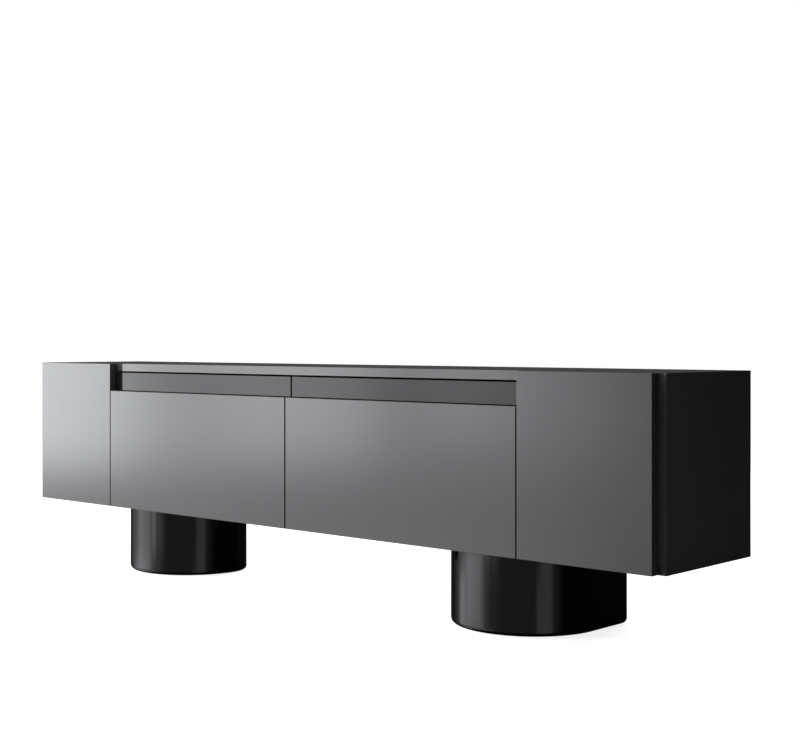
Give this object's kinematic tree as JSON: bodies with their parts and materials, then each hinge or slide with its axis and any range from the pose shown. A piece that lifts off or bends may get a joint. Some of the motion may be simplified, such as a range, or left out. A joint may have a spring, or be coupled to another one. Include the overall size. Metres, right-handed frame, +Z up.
{
  "type": "dresser with drawers",
  "caption": "Long low dresser in satin grey lacquer on two black drum feet, with a hinged door at each end, deep lower drawers and slim drawers set back under the top.",
  "frame": {"origin": "on the floor, under the centre of the case and of the fronts' depth", "axes": "+X to the viewer's right along the length, +Y towards the back, +Z up; fronts face -Y"},
  "size_m": [2.6, 0.442, 0.705],
  "materials": {
    "grey_lacquer": "satin lacquer on board",
    "dark_lacquer": "satin lacquer on board",
    "black_interior": "matte black board",
    "drawer_board": "matte grey board",
    "runner_steel": "zinc plated",
    "hinge_steel": "nickel plated",
    "plate_steel": "black paint",
    "black_gloss": "high gloss black lacquer",
    "black_plastic": "moulded"
  },
  "bodies": {
    "carcass": {"top_panel": "grey_lacquer", "bottom_panel": "grey_lacquer", "side_panel_left": "grey_lacquer", "side_panel_right": "grey_lacquer", "divider_left": "black_interior", "divider_right": "black_interior", "centre_divider": "black_interior", "upper_centre_divider": "black_interior", "deck": "black_interior", "back_panel_left": "black_interior", "back_panel_centre": "black_interior", "back_panel_right": "black_interior", "shelf_left": "black_interior", "shelf_right": "black_interior", "shelf_pins": "hinge_steel", "hinge_arms_left": "hinge_steel", "hinge_arms_right": "hinge_steel", "upper_runner_rails": "runner_steel", "lower_runner_rails": "runner_steel", "latch_bodies": "black_plastic", "foot_shell_left": "black_gloss", "foot_shell_right": "black_gloss", "foot_plate_left": "plate_steel", "foot_plate_right": "plate_steel", "foot_bolts": "hinge_steel", "floor_glides": "black_plastic"},
    "door_left": {"door_left": "grey_lacquer", "hinge_rod_left": "hinge_steel"},
    "door_right": {"door_right": "grey_lacquer", "hinge_rod_right": "hinge_steel"},
    "latch_plunger_left": {"latch_plunger_left": "black_plastic"},
    "latch_plunger_right": {"latch_plunger_right": "black_plastic"},
    "upper_drawer_left": {"upper_drawer_left_front": "dark_lacquer", "upper_drawer_left_side_left": "drawer_board", "upper_drawer_left_side_right": "drawer_board", "upper_drawer_left_back": "drawer_board", "upper_drawer_left_bottom": "drawer_board", "upper_runner_inner_left": "runner_steel"},
    "upper_drawer_right": {"upper_drawer_right_front": "dark_lacquer", "upper_drawer_right_side_left": "drawer_board", "upper_drawer_right_side_right": "drawer_board", "upper_drawer_right_back": "drawer_board", "upper_drawer_right_bottom": "drawer_board", "upper_runner_inner_right": "runner_steel"},
    "lower_drawer_left": {"lower_drawer_left_front": "grey_lacquer", "lower_drawer_left_side_left": "drawer_board", "lower_drawer_left_side_right": "drawer_board", "lower_drawer_left_back": "drawer_board", "lower_drawer_left_bottom": "drawer_board", "lower_runner_inner_left": "runner_steel"},
    "lower_drawer_right": {"lower_drawer_right_front": "grey_lacquer", "lower_drawer_right_side_left": "drawer_board", "lower_drawer_right_side_right": "drawer_board", "lower_drawer_right_back": "drawer_board", "lower_drawer_right_bottom": "drawer_board", "lower_runner_inner_right": "runner_steel"},
    "upper_runner_middle_left": {"upper_runner_middle_left": "runner_steel"},
    "upper_runner_middle_right": {"upper_runner_middle_right": "runner_steel"},
    "lower_runner_middle_left": {"lower_runner_middle_left": "runner_steel"},
    "lower_runner_middle_right": {"lower_runner_middle_right": "runner_steel"}
  },
  "joints": [
    {"name": "door_left_hinge", "type": "hinge", "parent": "carcass", "child": "door_left", "pos_m": [-1.27, -0.2065, 0.462], "axis": [0, 0, -1], "range_deg": [0, 95]},
    {"name": "door_right_hinge", "type": "hinge", "parent": "carcass", "child": "door_right", "pos_m": [1.27, -0.2065, 0.462], "axis": [0, 0, 1], "range_deg": [0, 95]},
    {"name": "latch_plunger_left_slide", "type": "slide", "parent": "carcass", "child": "latch_plunger_left", "axis": [0, -1, 0], "range_m": [0, 0.01]},
    {"name": "latch_plunger_right_slide", "type": "slide", "parent": "carcass", "child": "latch_plunger_right", "axis": [0, -1, 0], "range_m": [0, 0.01]},
    {"name": "upper_drawer_left_slide", "type": "slide", "parent": "carcass", "child": "upper_drawer_left", "axis": [0, -1, 0], "range_m": [0, 0.34]},
    {"name": "upper_drawer_right_slide", "type": "slide", "parent": "carcass", "child": "upper_drawer_right", "axis": [0, -1, 0], "range_m": [0, 0.34]},
    {"name": "lower_drawer_left_slide", "type": "slide", "parent": "carcass", "child": "lower_drawer_left", "axis": [0, -1, 0], "range_m": [0, 0.34]},
    {"name": "lower_drawer_right_slide", "type": "slide", "parent": "carcass", "child": "lower_drawer_right", "axis": [0, -1, 0], "range_m": [0, 0.34]},
    {"name": "upper_runner_middle_left_slide", "type": "slide", "parent": "carcass", "child": "upper_runner_middle_left", "axis": [0, -1, 0], "range_m": [0, 0.17]},
    {"name": "upper_runner_middle_right_slide", "type": "slide", "parent": "carcass", "child": "upper_runner_middle_right", "axis": [0, -1, 0], "range_m": [0, 0.17]},
    {"name": "lower_runner_middle_left_slide", "type": "slide", "parent": "carcass", "child": "lower_runner_middle_left", "axis": [0, -1, 0], "range_m": [0, 0.17]},
    {"name": "lower_runner_middle_right_slide", "type": "slide", "parent": "carcass", "child": "lower_runner_middle_right", "axis": [0, -1, 0], "range_m": [0, 0.17]}
  ],
  "couplings": [
    {"joint": "latch_plunger_left_slide", "follows": "door_left_hinge", "m_per_rad": 0.006},
    {"joint": "latch_plunger_right_slide", "follows": "door_right_hinge", "m_per_rad": 0.006},
    {"joint": "upper_runner_middle_left_slide", "follows": "upper_drawer_left_slide", "ratio": 0.5},
    {"joint": "upper_runner_middle_right_slide", "follows": "upper_drawer_right_slide", "ratio": 0.5},
    {"joint": "lower_runner_middle_left_slide", "follows": "lower_drawer_left_slide", "ratio": 0.5},
    {"joint": "lower_runner_middle_right_slide", "follows": "lower_drawer_right_slide", "ratio": 0.5}
  ]
}
